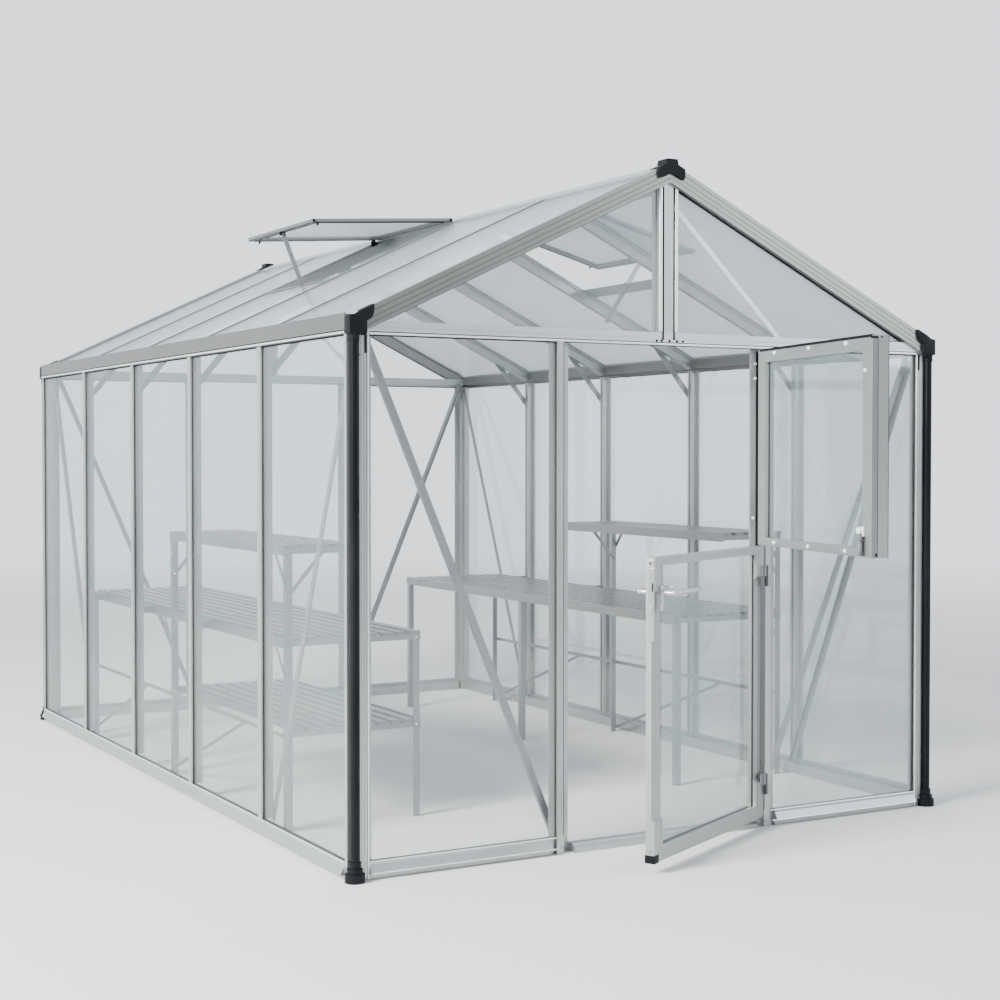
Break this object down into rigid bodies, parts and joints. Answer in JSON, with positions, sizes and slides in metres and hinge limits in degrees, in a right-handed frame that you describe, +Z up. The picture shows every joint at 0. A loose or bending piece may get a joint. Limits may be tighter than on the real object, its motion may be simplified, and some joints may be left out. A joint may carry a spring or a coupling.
{
  "type": "glass greenhouse",
  "caption": "Free-standing aluminium greenhouse with clear glass walls, twin-wall roof sheets, split entrance door, roof vents, gutters, downpipes and slatted staging benches",
  "frame": {"origin": "on the ground in the plane of the front wall's outer face, under the middle of the doorway", "axes": "+Y runs from the front gable to the back gable, +X to the right as seen from in front, +Z up"},
  "size_m": [2.498, 4.6534, 2.3967],
  "materials": {
    "aluminium_frame": "mill finish, satin",
    "bare_aluminium": "mill finish, slightly weathered",
    "clear_glass": "clear float glass",
    "twin_wall_sheet": "translucent twin-wall sheet",
    "black_plastic": "moulded, satin",
    "black_pipe": "extruded, slight gloss",
    "handle_steel": "brushed"
  },
  "bodies": {
    "house": {"front_sill": "aluminium_frame", "door_threshold": "aluminium_frame", "back_sill": "aluminium_frame", "left_sill": "aluminium_frame", "right_sill": "aluminium_frame", "corner_posts": "aluminium_frame", "right_door_post": "aluminium_frame", "left_door_post": "aluminium_frame", "left_wall_bars": "aluminium_frame", "right_wall_bars": "aluminium_frame", "back_wall_bars": "aluminium_frame", "front_glass": "clear_glass", "back_glass": "clear_glass", "left_glass": "clear_glass", "right_glass": "clear_glass", "tie_beams": "aluminium_frame", "king_posts": "aluminium_frame", "front_gable_sheets": "twin_wall_sheet", "back_gable_sheets": "twin_wall_sheet", "ridge_beam": "aluminium_frame", "left_roof_bars": "aluminium_frame", "right_roof_bars": "aluminium_frame", "verge_bars": "aluminium_frame", "left_roof_sheets": "twin_wall_sheet", "right_roof_sheets": "twin_wall_sheet", "vent_leaf_frames": "aluminium_frame", "vent_sheets": "twin_wall_sheet", "vent_curbs": "aluminium_frame", "vent_stays": "bare_aluminium", "left_gutter": "aluminium_frame", "right_gutter": "aluminium_frame", "gutter_outlets": "black_plastic", "downpipes": "black_pipe", "downpipe_feet": "black_plastic", "ridge_end_caps": "black_plastic", "knee_braces": "bare_aluminium", "wind_braces": "bare_aluminium", "gable_braces": "bare_aluminium", "post_hinges": "aluminium_frame", "left_bench_frames": "bare_aluminium", "left_bench_slats": "bare_aluminium", "right_bench_frames": "bare_aluminium", "right_bench_slats": "bare_aluminium", "left_bench_rails": "bare_aluminium", "right_bench_rails": "bare_aluminium"},
    "door_lower_leaf": {"lower_leaf_frame": "aluminium_frame", "lower_leaf_glass": "clear_glass", "lower_leaf_hinges": "aluminium_frame", "lower_leaf_handle": "handle_steel"},
    "door_upper_leaf": {"upper_leaf_frame": "aluminium_frame", "upper_leaf_glass": "clear_glass", "upper_leaf_hinges": "aluminium_frame", "upper_leaf_catch": "handle_steel"}
  },
  "joints": [
    {"name": "door_lower_leaf_hinge", "type": "hinge", "parent": "house", "child": "door_lower_leaf", "pos_m": [0.433, -0.008, 0.5], "axis": [0, 0, 1], "range_deg": [-27.4, 92.6]},
    {"name": "door_upper_leaf_hinge", "type": "hinge", "parent": "house", "child": "door_upper_leaf", "pos_m": [0.433, -0.008, 1.4], "axis": [0, 0, 1], "range_deg": [-76.3, 43.7]}
  ]
}
